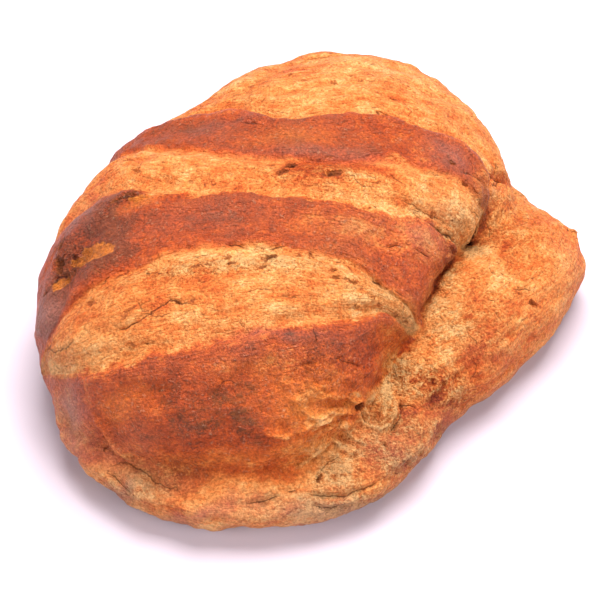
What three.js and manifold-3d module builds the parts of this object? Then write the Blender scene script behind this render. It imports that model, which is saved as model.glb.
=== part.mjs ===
// A slashed country loaf in one piece, in millimetres, with +Z up and its flat base at z = 0.
// The dough is a tall dome that leans on a lower foot. The foot runs out as a lobe on the right
// and as a thin skirt along the front. Three dark strips of the first crust cross the top, and
// paler crust has opened between them.
import * as THREE from "three";
import { mergeVertices } from "three/addons/utils/BufferGeometryUtils.js";
import Module from "manifold-3d";

// Each lump of dough has its widest line at the height waist, rises to rise in the middle and
// closes again at undercut below the base, which cuts it off. reach is how far that widest line
// lies from the centre, at even steps round it from +X towards +Y.
const DOME = {
  centre: [-23, -12],
  rise: [109],
  waist: 32,
  undercut: 20,
  roundness: 2.25,
  reach: [103, 146, 166, 174, 152, 127, 122, 120, 126, 132, 134, 125, 117, 106, 89, 91],
};
const FOOT = {
  centre: [27, -34],
  rise: [60, 62, 58, 48, 40, 36, 36, 36, 36, 36, 36, 36, 38, 44, 52, 58],
  waist: 21,
  undercut: 14,
  roundness: 2.7,
  reach: [95, 133, 133, 148, 158, 155, 150, 150, 155, 169, 156, 126, 104, 80, 68, 75],
};

// The fillet where the dome meets the foot: tight along the seam, soft at the two front corners
const SEAM_FILLET = 5;
const SOFT_CORNERS = [
  { x: 42, y: -108, reach: 42, fillet: 38 },
  { x: -100, y: -118, reach: 40, fillet: 22 },
];

// Edges of the dark strips seen from above: y at even steps of x
const EDGE_START = -150;
const EDGE_STEP = 50;
const BACK_STRIP = { upper: [66, 60, 60, 49, 52, 36], lower: [62, 51, 24, 15, 13, 12] };
const MIDDLE_STRIP = { upper: [-34, 5, -9, -14, -15, -20], lower: [-74, -46, -42, -47, -55, -58] };
const FRONT_STRIP = { upper: [-78, -95, -94, -84, -58, -55], lower: [-170] };

// The crust relief: a ridge along the back edge of each dark strip with a valley behind it, and
// a crown in the opened crust between two strips. It fades out down the sides.
const STRIP_RIDGE = { height: 2.4, width: 6, behindEdge: -5 };
const STRIP_VALLEY = { height: -1.8, width: 5, behindEdge: 5 };
const STRIP_STEP = { height: -1.6, width: 5, behindEdge: -4 };
const OPENING_CROWN = 3.2;
const BACK_OPENING_HALF = 62;
const RELIEF_FROM = 40;
const RELIEF_FULL = 75;

// A groove is a soft valley along a line of [x, y, z, depth], and its width is to the half depth
const SEAM = {
  width: 6,
  line: [
    [104, 42, 66, 2], [99, 30, 63, 4], [96, 14, 60, 6], [86, 2, 58, 9], [78, -8, 58, 7],
    [71, -18, 58, 6], [66, -28, 57, 7], [61, -38, 55, 6], [56, -52, 53, 6], [47, -66, 50, 5],
    [35, -84, 46, 3],
  ],
};
const LEFT_FISSURE = {
  width: 5,
  line: [[-117, -12, 93, 1], [-126, -29, 85, 6], [-133, -44, 76, 5], [-138, -62, 64, 2]],
};
const FRONT_FOLDS = [
  [[-112, -120, 24, 1], [-101, -124, 29, 4], [-90, -129, 30, 4], [-76, -137, 28, 4], [-62, -141, 27, 1]],
  [[-112, -127, 16, 1], [-98, -134, 17, 3], [-82, -142, 16, 3], [-60, -149, 13, 1]],
  [[-48, -146, 25, 1], [-26, -146, 27, 3], [0, -142, 27, 3], [22, -138, 25, 1]],
].map((line) => ({ width: 4.5, line }));

// Pockets are round dents: [x, y, z, depth, width]
const POCKETS = [
  [16, -101, 56, 5, 7], [42, -100, 36, 5, 9], [62, -94, 34, 6, 8], [84, -72, 38, 4, 9],
  [112, -2, 56, 3, 8], [-22, 3, 112, 3, 7], [-26, -50, 110, 3, 7], [2, -62, 106, 3, 7],
];

// Slow waves that keep the dough uneven: [height, length along x, along y and along z, phase]
const WAVES = [[0.9, 61, 83, 57, 0.4], [0.7, -47, 39, 71, 2.1], [0.5, 29, -33, 41, 4.4]];

// The crust is found along rays from a point far below the middle of the base. Below the base the
// loaf goes on as a prism, which is cut off in the end.
const HEART = new THREE.Vector3(0, 0, -60);
const PRISM_TOP = -8;
const PRISM_FOOT = -90;
const FARTHEST = 240;
const SEARCH_STEP = 2;
const HALVINGS = 12;
const BALL_DETAIL = 42;
const SAME_RAY_DIGITS = 5;
const TINY = 1e-6;
const CRUST = { color: 0xc8763d, roughness: 0.72, metalness: 0 };

const smoothStep = (from, to, value) => THREE.MathUtils.smoothstep(value, from, to);

// A smooth line through values at even steps, for t counted in steps
function through(values, t, closed) {
  const count = values.length;
  const first = Math.floor(t);
  const wrap = (i) => ((i % count) + count) % count;
  const hold = (i) => Math.min(Math.max(i, 0), count - 1);
  const at = (i) => values[closed ? wrap(i) : hold(i)];
  const f = t - first;
  const [a, b, c, d] = [at(first - 1), at(first), at(first + 1), at(first + 2)];
  return 0.5 * (2 * b + (c - a) * f + (2 * a - 5 * b + 4 * c - d) * f * f + (3 * b - a - 3 * c + d) * f ** 3);
}

// How far a point lies outside a lump of dough, less than zero inside it
function lumpDistance(lump, x, y, z) {
  const dx = x - lump.centre[0];
  const dy = y - lump.centre[1];
  const dz = z - lump.waist;
  const out = Math.hypot(dx, dy);
  const turn = Math.atan2(dy, dx) / (2 * Math.PI);
  const across = out / through(lump.reach, turn * lump.reach.length, true);
  const rise = through(lump.rise, turn * lump.rise.length, true);
  const up = dz > 0 ? dz / (rise - lump.waist) : -dz / (lump.waist + lump.undercut);
  const scale = Math.max((across ** lump.roundness + up ** lump.roundness) ** (1 / lump.roundness), TINY);
  return ((scale - 1) * Math.hypot(out, dz)) / scale;
}

// The lesser of two distances, with a fillet where they cross
function smoothMin(a, b, fillet) {
  const mix = THREE.MathUtils.clamp(0.5 + (0.5 * (b - a)) / fillet, 0, 1);
  return b * (1 - mix) + a * mix - fillet * mix * (1 - mix);
}

const valley = (depth, distance, width) => depth * Math.exp(-Math.LN2 * (distance / width) ** 2);

// How far the crust of the top stands above or below the plain dome
function crustRelief(x, y, z) {
  const t = THREE.MathUtils.clamp((x - EDGE_START) / EDGE_STEP, 0, BACK_STRIP.upper.length - 1);
  let relief = 0;
  let openingBack = null;
  for (const strip of [BACK_STRIP, MIDDLE_STRIP, FRONT_STRIP]) {
    const upper = through(strip.upper, t, false);
    const lower = through(strip.lower, t, false);
    for (const { height, width, behindEdge } of [STRIP_RIDGE, STRIP_VALLEY]) {
      relief += valley(height, y - upper - behindEdge, width);
    }
    relief += valley(STRIP_STEP.height, y - lower - STRIP_STEP.behindEdge, STRIP_STEP.width);
    const openingHalf = openingBack === null ? BACK_OPENING_HALF : (openingBack - upper) / 2;
    const across = (y - upper - openingHalf) / openingHalf;
    relief += OPENING_CROWN * Math.max(0, 1 - across ** 2) ** 2;
    openingBack = lower;
  }
  return relief * smoothStep(RELIEF_FROM, RELIEF_FULL, z);
}

// How far the slow waves lift the crust
function waves(x, y, z) {
  let sum = 0;
  for (const [height, alongX, alongY, alongZ, phase] of WAVES) {
    const flat = Math.sin(2 * Math.PI * (x / alongX + y / alongY) + phase);
    sum += height * flat * Math.cos((2 * Math.PI * z) / alongZ + phase);
  }
  return sum;
}

// How deep a groove is at a point, taken from the nearest of its straight stretches
function grooveDepth({ line, width }, x, y, z) {
  let deepest = 0;
  for (let i = 0; i + 1 < line.length; i += 1) {
    const [ax, ay, az, aDepth] = line[i];
    const [bx, by, bz, bDepth] = line[i + 1];
    const [ux, uy, uz] = [bx - ax, by - ay, bz - az];
    const along = ((x - ax) * ux + (y - ay) * uy + (z - az) * uz) / (ux * ux + uy * uy + uz * uz);
    const k = THREE.MathUtils.clamp(along, 0, 1);
    const gap = Math.hypot(x - ax - ux * k, y - ay - uy * k, z - az - uz * k);
    deepest = Math.max(deepest, valley(aDepth + (bDepth - aDepth) * k, gap, width));
  }
  return deepest;
}

// How round the fillet between the dome and the foot is above one point of the base
function filletAt(x, y) {
  let fillet = SEAM_FILLET;
  for (const corner of SOFT_CORNERS) {
    const nearness = Math.exp(-((x - corner.x) ** 2 + (y - corner.y) ** 2) / corner.reach ** 2);
    fillet += (corner.fillet - SEAM_FILLET) * nearness;
  }
  return fillet;
}

// The whole loaf as one field: less than zero in the bread, more outside it. Just below the base
// its outline goes straight down, as far as it takes to cut it off.
function loafField(x, y, depth) {
  if (depth < PRISM_FOOT) return PRISM_FOOT - depth;
  const z = Math.max(depth, PRISM_TOP);
  const dome = lumpDistance(DOME, x, y, z) - crustRelief(x, y, z);
  const foot = lumpDistance(FOOT, x, y, z);
  let field = smoothMin(dome, foot, filletAt(x, y)) - waves(x, y, z);
  for (const groove of [SEAM, LEFT_FISSURE, ...FRONT_FOLDS]) {
    field += grooveDepth(groove, x, y, z);
  }
  for (const [px, py, pz, depth, width] of POCKETS) {
    field += valley(depth, Math.hypot(x - px, y - py, z - pz), width);
  }
  return field;
}

// The distance from the heart of the loaf to its crust in one direction, searched from outside
function reachOfCrust(direction) {
  const fieldAt = (distance) => loafField(
    HEART.x + direction.x * distance,
    HEART.y + direction.y * distance,
    HEART.z + direction.z * distance,
  );
  let outside = FARTHEST;
  while (fieldAt(outside - SEARCH_STEP) > 0) {
    outside -= SEARCH_STEP;
  }
  let inside = outside - SEARCH_STEP;
  for (let halving = 0; halving < HALVINGS; halving += 1) {
    const middle = (inside + outside) / 2;
    if (fieldAt(middle) > 0) outside = middle;
    else inside = middle;
  }
  return (inside + outside) / 2;
}

const wasm = await Module();
wasm.setup();

// A closed geometry becomes a solid once only its merged positions are left
function solidOf(geometry) {
  geometry.deleteAttribute("normal");
  geometry.deleteAttribute("uv");
  const merged = mergeVertices(geometry);
  const mesh = new wasm.Mesh({
    numProp: 3,
    vertProperties: new Float32Array(merged.attributes.position.array),
    triVerts: new Uint32Array(merged.index.array),
  });
  return new wasm.Manifold(mesh);
}

// A fine ball whose every point is moved out or in to the crust
function doughGeometry() {
  const ball = new THREE.IcosahedronGeometry(1, BALL_DETAIL);
  const places = ball.attributes.position;
  const direction = new THREE.Vector3();
  const reaches = new Map();
  for (let vertex = 0; vertex < places.count; vertex += 1) {
    direction.fromBufferAttribute(places, vertex).normalize();
    const key = direction.toArray().map((value) => value.toFixed(SAME_RAY_DIGITS)).join(",");
    if (!reaches.has(key)) {
      const place = direction.clone().multiplyScalar(reachOfCrust(direction)).add(HEART);
      reaches.set(key, place);
    }
    places.setXYZ(vertex, ...reaches.get(key).toArray());
  }
  return ball;
}

function loafGeometry() {
  const width = FARTHEST * 4;
  const below = new THREE.BoxGeometry(width, width, FARTHEST * 2).translate(0, 0, -FARTHEST);
  const { vertProperties, triVerts } = solidOf(doughGeometry()).subtract(solidOf(below)).getMesh();
  const geometry = new THREE.BufferGeometry();
  geometry.setAttribute("position", new THREE.BufferAttribute(vertProperties, 3));
  geometry.setIndex(new THREE.BufferAttribute(triVerts, 1));
  geometry.computeBoundingBox();
  const middle = geometry.boundingBox.getCenter(new THREE.Vector3());
  geometry.translate(-middle.x, -middle.y, 0);
  geometry.computeVertexNormals();
  return geometry;
}

const loaf = new THREE.Mesh(loafGeometry(), new THREE.MeshStandardMaterial(CRUST));
loaf.name = "loaf";

const group = new THREE.Group();
group.add(loaf);

export default group;
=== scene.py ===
"""The looks of a slashed country loaf: its crust as one fine mesh with a procedural material."""

import math

import bmesh
import bpy
import numpy as np
from mathutils import Matrix, Vector
from mathutils.geometry import delaunay_2d_cdt


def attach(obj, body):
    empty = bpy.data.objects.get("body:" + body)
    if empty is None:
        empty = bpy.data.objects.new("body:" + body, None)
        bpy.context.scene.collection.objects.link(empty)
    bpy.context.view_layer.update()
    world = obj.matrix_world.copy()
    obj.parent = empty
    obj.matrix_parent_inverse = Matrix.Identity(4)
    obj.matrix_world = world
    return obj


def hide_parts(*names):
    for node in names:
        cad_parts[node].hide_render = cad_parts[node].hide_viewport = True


MM = 0.001

# The two lumps of dough, in millimetres: reach is how far the widest line lies from the centre, at
# even steps round it from +X towards +Y
DOME = {
    "centre": (-23, -12),
    "rise": [109],
    "waist": 32,
    "undercut": 20,
    "roundness": 2.25,
    "reach": [103, 146, 166, 174, 152, 127, 122, 120, 126, 132, 134, 125, 117, 106, 89, 91],
}
FOOT = {
    "centre": (27, -34),
    "rise": [60, 62, 58, 48, 40, 36, 36, 36, 36, 36, 36, 36, 38, 44, 52, 58],
    "waist": 21,
    "undercut": 14,
    "roundness": 2.7,
    "reach": [95, 133, 133, 148, 158, 155, 150, 150, 155, 169, 156, 126, 104, 80, 68, 75],
}
SEAM_FILLET = 5
SOFT_CORNERS = [(42, -108, 42, 38), (-100, -118, 40, 22)]

# Grooves are soft valleys, each a width and a line of [x, y, z, depth]: the seam, the fissure on the
# left and the folds in front. Pockets are round dents
SEAM = [
    (104, 42, 66, 2), (99, 30, 63, 4), (96, 14, 60, 6), (86, 2, 58, 9), (78, -8, 58, 7), (71, -18, 58, 6),
    (66, -28, 57, 7), (61, -38, 55, 6), (56, -52, 53, 6), (47, -66, 50, 5), (35, -84, 46, 3),
]
LEFT_FISSURE = [(-117, -12, 93, 1), (-126, -29, 85, 6), (-133, -44, 76, 5), (-138, -62, 64, 2)]
FRONT_FOLDS = [
    [
        (-112, -120, 24, 1), (-101, -124, 29, 4), (-90, -129, 30, 4), (-76, -137, 28, 4),
        (-62, -141, 27, 1),
    ],
    [(-112, -127, 16, 1), (-98, -134, 17, 3), (-82, -142, 16, 3), (-60, -149, 13, 1)],
    [(-48, -146, 25, 1), (-26, -146, 27, 3), (0, -142, 27, 3), (22, -138, 25, 1)],
]
GROOVES = [(6, SEAM), (5, LEFT_FISSURE), *((4.5, fold) for fold in FRONT_FOLDS)]
POCKETS = [
    (16, -101, 56, 5, 7), (42, -100, 36, 5, 9), (62, -94, 34, 6, 8), (84, -72, 38, 4, 9),
    (112, -2, 56, 3, 8), (-22, 3, 112, 3, 7), (-26, -50, 110, 3, 7), (2, -62, 106, 3, 7),
]
WAVES = [(0.9, 61, 83, 57, 0.4), (0.7, -47, 39, 71, 2.1), (0.5, 29, -33, 41, 4.4)]

# The crust is found along rays from the heart, a point far below the middle of the base. A place
# on it is [a, b]: the map of the rays on a flat sheet, almost true to size, a to the right and b to
# the back, both in millimetres
HEART = np.array([0.0, 0.0, -60.0])
MAP_RADIUS = 170
MAP_EDGE_DEGREES = 76
FARTHEST = 240
SEARCH_STEP = 2
HALVINGS = 12
PRISM_TOP = -8
GRID = 1.5
BASE_GRID = 6
BASE_REACH = 200
LOWEST = -3
CUT_GAP = 1e-7
TINY = 1e-6

# The edges of the dark strips, front to back: b at even steps of a
EDGE_START = -160
EDGE_STEP = 20
STRIP_EDGES = [
    [66, 66, 67, 68, 68, 69, 64, 49, 53, 56, 57, 54, 54, 40, 22],
    [20, 34, 45, 50, 42, 32, 26, 21, 19, 21, 28, 22, 27, 21, 10],
    [-14, -6, 6, 8, -2, -8, -8, -10, -11, -13, -13, -8, -8, -8, -8],
    [-68, -62, -51, -45, -43, -39, -39, -40, -44, -45, -54, -60, -68, -70, -70],
    [-70, -79, -88, -91, -91, -91, -90, -87, -84, -79, -70, -73, -76, -78, -80],
    [-120, -125, -129, -138, -151, -151, -154, -157, -153, -136, -112, -100, -98, -98, -98],
]
# The place of each of those edges on a strip that is laid out straight, counted towards the front
STRIP_PLACES = [0, 34, 65, 97, 145, 207]

# The relief of the strips, on them laid out straight: a lip in front of the back edge of each dark
# one, a valley behind it, a step in front of its front edge, and a crown in each opening
LIP = {"height": 2.2, "width": 6, "after": 5}
BEHIND_LIP = {"height": -1.8, "width": 4, "after": -4}
STEP = {"height": -1.5, "width": 4, "after": 4}
TORN_STEP = 0.9
TEAR = 0.7
LIP_FADE = 12
STEP_FADE = 9
EDGE_BLUR = 1.5
CROWN = 3.0
OPENINGS = [(-124, 0), (34, 65), (97, 145)]
RELIEF_HEIGHTS = (40, 75)
SEAM_CALM = 6

# Cracks, creases and raised lines: half the width of the line of painted shade drawn along each, the
# width and the depth of the valley, and for each line the places that it passes, as a and b in turn
HAIR_CRACKS = (0.25, 0.8, 0.6, [
    (-85, -65, -81, -70, -76, -70), (-78, -72, -72, -74, -68, -72),
    (-143, -65, -135, -68, -128, -73, -121, -75, -112, -74), (-135, -68, -131, -69, -131, -66),
    (-134, -70, -140, -70), (-100, -46, -101, -48, -103, -49), (-61, -44, -57, -44, -51, -43),
    (-54, -56, -47, -57), (-36, -68, -28, -67, -20, -67), (-19, -70, -9, -71),
    (-38, -81, -37, -83, -34, -85), (-119, 15, -117, 14, -110, 13), (-5, 117, 6, 120, 17, 118),
    (29, 102, 31, 106, 33, 107), (0, 95, 6, 92), (28, 88, 33, 87), (42, 93, 47, 94), (59, 81, 62, 79),
    (31, 65, 35, 66), (6, 55, 12, 56), (15, 4, 20, 5, 24, 1, 29, 0), (40, 13, 45, 8, 50, 6),
    (32, -8, 34, -9), (57, -4, 60, -4), (92, 19, 95, 17, 101, 19, 104, 17, 111, 17),
    (111, 26, 115, 21, 116, 13), (51, -27, 54, -27), (47, -55, 54, -56), (19, -67, 28, -65),
    (46, -2, 55, -2, 68, -3, 79, -2), (86, 12, 93, 11, 101, 11), (53, -68, 62, -66),
    (111, -16, 114, -21), (110, -39, 114, -42), (112, -49, 120, -53), (132, -47, 136, -43),
    (-53, -112, -48, -110, -46, -107, -41, -108, -35, -111), (-9, -103, -2, -102, 2, -101),
    (-1, -85, 0, -94), (8, -99, 14, -100, 23, -101, 29, -102),
    (1, -158, 4, -155, 9, -151, 14, -149, 18, -151), (51, -155, 60, -155), (90, -61, 94, -64),
    (96, -63, 101, -68, 105, -69, 107, -72), (104, -80, 111, -83, 110, -88, 108, -92),
    (97, -91, 98, -95),
])
OPEN_CRACKS = (0.34, 1.0, 1.2, [
    (-95, -73, -91, -76, -84, -75, -78, -72, -73, -69, -69, -67, -60, -71, -49, -75),
    (-82, -50, -79, -51), (-76, -51, -73, -52), (-45, -38, -40, -39, -35, -41),
    (-25, -42, -19, -42, -15, -41), (-80, -85, -78, -85), (-128, -10, -132, -13, -137, -18, -141, -21),
    (-135, -35, -131, -32, -125, -33), (-136, -37, -140, -37), (-39, 50, -34, 48, -30, 45),
    (82, 31, 88, 32, 94, 32, 99, 34), (39, -32, 43, -31, 46, -29, 50, -30),
    (54, -6, 63, -7, 73, -7, 80, -7), (71, -8, 84, -7, 93, -5), (57, -27, 62, -27, 69, -27),
    (84, -12, 89, -12), (73, -7, 81, -8, 86, -8), (32, -54, 36, -54, 40, -54), (132, -18, 135, -17),
    (125, -28, 130, -27, 134, -27), (165, -41, 172, -29), (57, -118, 63, -119, 70, -119),
    (104, 45, 110, 47, 115, 52, 121, 55), (106, 38, 113, 48),
])
CREASES = (0.27, 1.5, 2.4, [
    (-115, -131, -109, -133, -104, -135, -98, -139, -92, -144, -86, -148, -79, -152, -74, -155),
    (-116, -133, -111, -137, -107, -142, -100, -147), (-100, -151, -92, -156, -80, -160, -71, -162),
    (-40, -165, -31, -165, -20, -164), (-16, -163, -11, -163),
    (-9, -163, 3, -166, 16, -166, 30, -163, 44, -158), (-5, -168, 6, -172, 17, -171, 32, -171),
    (58, -114, 59, -123, 55, -130, 47, -137), (29, -125, 32, -129, 35, -133),
])
VALLEYS = (0, 2.4, 2.2, [
    (4, -121, 14, -121, 23, -123), (0, -133, 12, -129, 22, -129), (8, -143, 16, -138, 26, -137),
    (36, -118, 34, -123, 37, -129, 43, -131),
])
RAISED = (0, 1.3, -2.0, [
    (-114, -106, -111, -113, -110, -124, -104, -132, -96, -140), (-28, -132, -22, -133, -15, -136),
    (0, -119, 8, -117, 17, -118, 24, -120, 29, -120, 31, -123), (-7, -124, 1, -128, 11, -124, 21, -124),
    (-3, -135, 3, -130, 13, -127, 22, -126), (4, -145, 10, -141, 18, -144, 29, -145),
    (16, -130, 19, -136, 27, -141, 36, -143),
    (33, -125, 36, -132, 42, -135, 50, -131, 54, -124, 54, -117),
    (-9, -144, -8, -136, -3, -131, 5, -129, 13, -129), (-5, -147, 0, -139, 3, -134, 12, -132),
    (-13, -154, -5, -152, 1, -146, 7, -140), (13, -141, 15, -145, 22, -147, 30, -145),
    (13, -134, 18, -132, 25, -133), (-24, -133, -20, -135, -14, -136),
    (26, -126, 32, -132, 41, -135, 49, -133, 57, -128, 58, -123),
])
WRINKLES = (0, 0.8, -0.8, [
    (-7, -104, -4, -104, -1, -105), (-3, -112, 1, -113, 5, -112), (-18, -110, -13, -111),
    (-16, -117, -11, -118, -6, -117), (3, -108, 7, -107, 11, -109),
])
RIDGES = (0, 4, -1.8, [
    (-74, -157, -44, -159, -20, -161), (-19, -172, -13, -166, -7, -172), (157, 33, 159, 33, 161, 33),
    (41, -124, 42, -124, 43, -124),
])
# Near these the grid is finer, and those of them that rise are paler
FINE_LINES = (HAIR_CRACKS, OPEN_CRACKS, CREASES, VALLEYS, RAISED, WRINKLES)
LINE_MARGIN = 8
TAPER = 0.22
THIN_END = 0.25
FAR = 3.0

# Two noises, each of a cell and two seeds, bend what is drawn by the map: how much of each is used
BENDS = [(1.8, (21, 22)), (6, (23, 24))]
NARROW = 1.5
NARROW_BEND = (0.4, 0.9)
WIDE_BEND = (0.1, 0.9)
HOLE_BEND = (0.7, 1.3)

# The grid is finer this near to a line, the end of a hole, the cleft and the edge of a strip on top
FINE_NEAR = {"line": 1.8, "hole": 1.5, "cleft": 2.2, "edge": 1.3}
TOP_RIGHT = 112
TOP_REACH = 160

# Torn holes: place, half length, half width, turn in degrees and depth
HOLES = [
    (-95, 1, 7, 2.4, 0, 3), (-128, -15, 2.6, 5, -10, 2.6), (-129, -26, 2.4, 5, 12, 2.2),
    (39, 60, 6, 1.6, -8, 3.5), (104, 9, 4, 3, 0, 8), (-11, 14, 4, 1.6, 20, 2.5),
    (-17, 8, 4, 2, 30, 1.6), (9, 4, 4, 1.6, 30, 2.5), (75, 32, 2, 1.2, 0, 1.6),
    (86, 24, 2.5, 1.2, 0, 1.5), (-23, -47, 4, 2, 15, 2.4), (-25, -55, 3, 0.8, 0, 1.2),
    (-42, -52, 1.8, 1, 0, 1.4), (10, -59, 5, 1.5, 0, 1.8), (17, -58, 3, 1.2, 0, 1.6),
    (21, -71, 1.6, 0.9, 0, 1.4), (-62, 97, 5, 1.5, 10, 2), (-44, 70, 3, 1, 20, 1.5),
    (43, 77, 1.6, 0.9, 0, 1.4), (11, 84, 1.6, 0.9, 0, 1.2), (137, -34, 3, 1.4, 0, 2),
    (-115, -118, 1, 0.9, 0, 2.5), (-115, -123, 1.1, 1, 0, 2.5), (27, -123, 1.8, 2.2, 20, 3),
    (45, -142, 1.6, 1.3, 0, 2.5), (1, -158, 2.4, 1.2, 0, 2), (58, -12, 1, 0.8, 0, 1.2),
    (159, 31, 3, 0.8, 20, 2),
]
# Torn openings whose floor is pale and golden, in the same form
PLATES = [
    (-111, -29, 12, 5, -4, 2), (-130, -36, 6, 3, 15, 1.8), (-87, -3, 6, 2.6, 0, 1.2),
]
# The raised rim of a hole, in shares of its half width outside it
RIM = {"height": 0.35, "outside": 0.3, "width": 0.2}
HOLE_MARGIN = 3
# Holes at least this deep get the full painted shade in their middle
DARK_DEPTH = 5
OUTSIDE = -2.0

# Rough, ragged stretches: place, reach along a and b, and how rough
ROUGH = [
    (82, -104, 30, 13, 1), (60, -102, 12, 12, 1), (45, -124, 12, 12, 0.8), (103, 20, 9, 14, 0.7),
    (86, -15, 9, 20, 0.7), (14, -156, 14, 6, 0.9), (52, -146, 32, 9, 0.9), (88, -130, 20, 8, 0.8),
    (60, -130, 22, 11, 0.75), (-45, -52, 50, 6, 0.5), (-124, -26, 9, 14, 0.9), (120, 20, 18, 30, 0.35),
    (100, -60, 25, 20, 0.4), (-90, -145, 30, 8, 0.5), (20, -170, 40, 8, 0.5), (5, 8, 26, 7, 0.5),
    (-98, 0, 12, 5, 0.6), (-5, -100, 34, 9, 0.45),
]
# The folds that spread from the deep pit in front
PIT = (27, -123)
FOLDS = 30
FOLD_REACH = 34
FOLD_HEIGHT = 0.45
FOLD_TWIST = 90

# The relief of noise: height, cell and seed
RELIEF = {
    "lumps": (1.0, 32, 3), "swells": (0.4, 15, 4), "dimples": (0.4, 7, 5), "pores": (0.4, 3.4, 6),
    "streaks": (0.7, (15, 3.4), 7), "layers": (0.2, (7, 7, 3.4), 8), "front_streaks": (0.7, (9, 3.6), 9),
    "ragged_edge": (1.6, (9, 5), 1), "frayed_edge": (0.7, (2.5, 2), 2), "fold_bend": (0.35, 14, 10),
    "crags": (4.32, (3.4, 4.4, 6), 11), "crumbs": (1.1, 2.8, 12), "wall": (1.0, (2.8, 14), 13),
    "cleft": (1.2, 6, 41), "patch_bend": (3, 12, 31), "patch_sway": (3, 12, 32),
}
SKIN_CALM = 0.43
CRAG_TOP = 2.16
CRAG_FLOOR = -0.54
CRAG_POWER = 1.5
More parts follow.
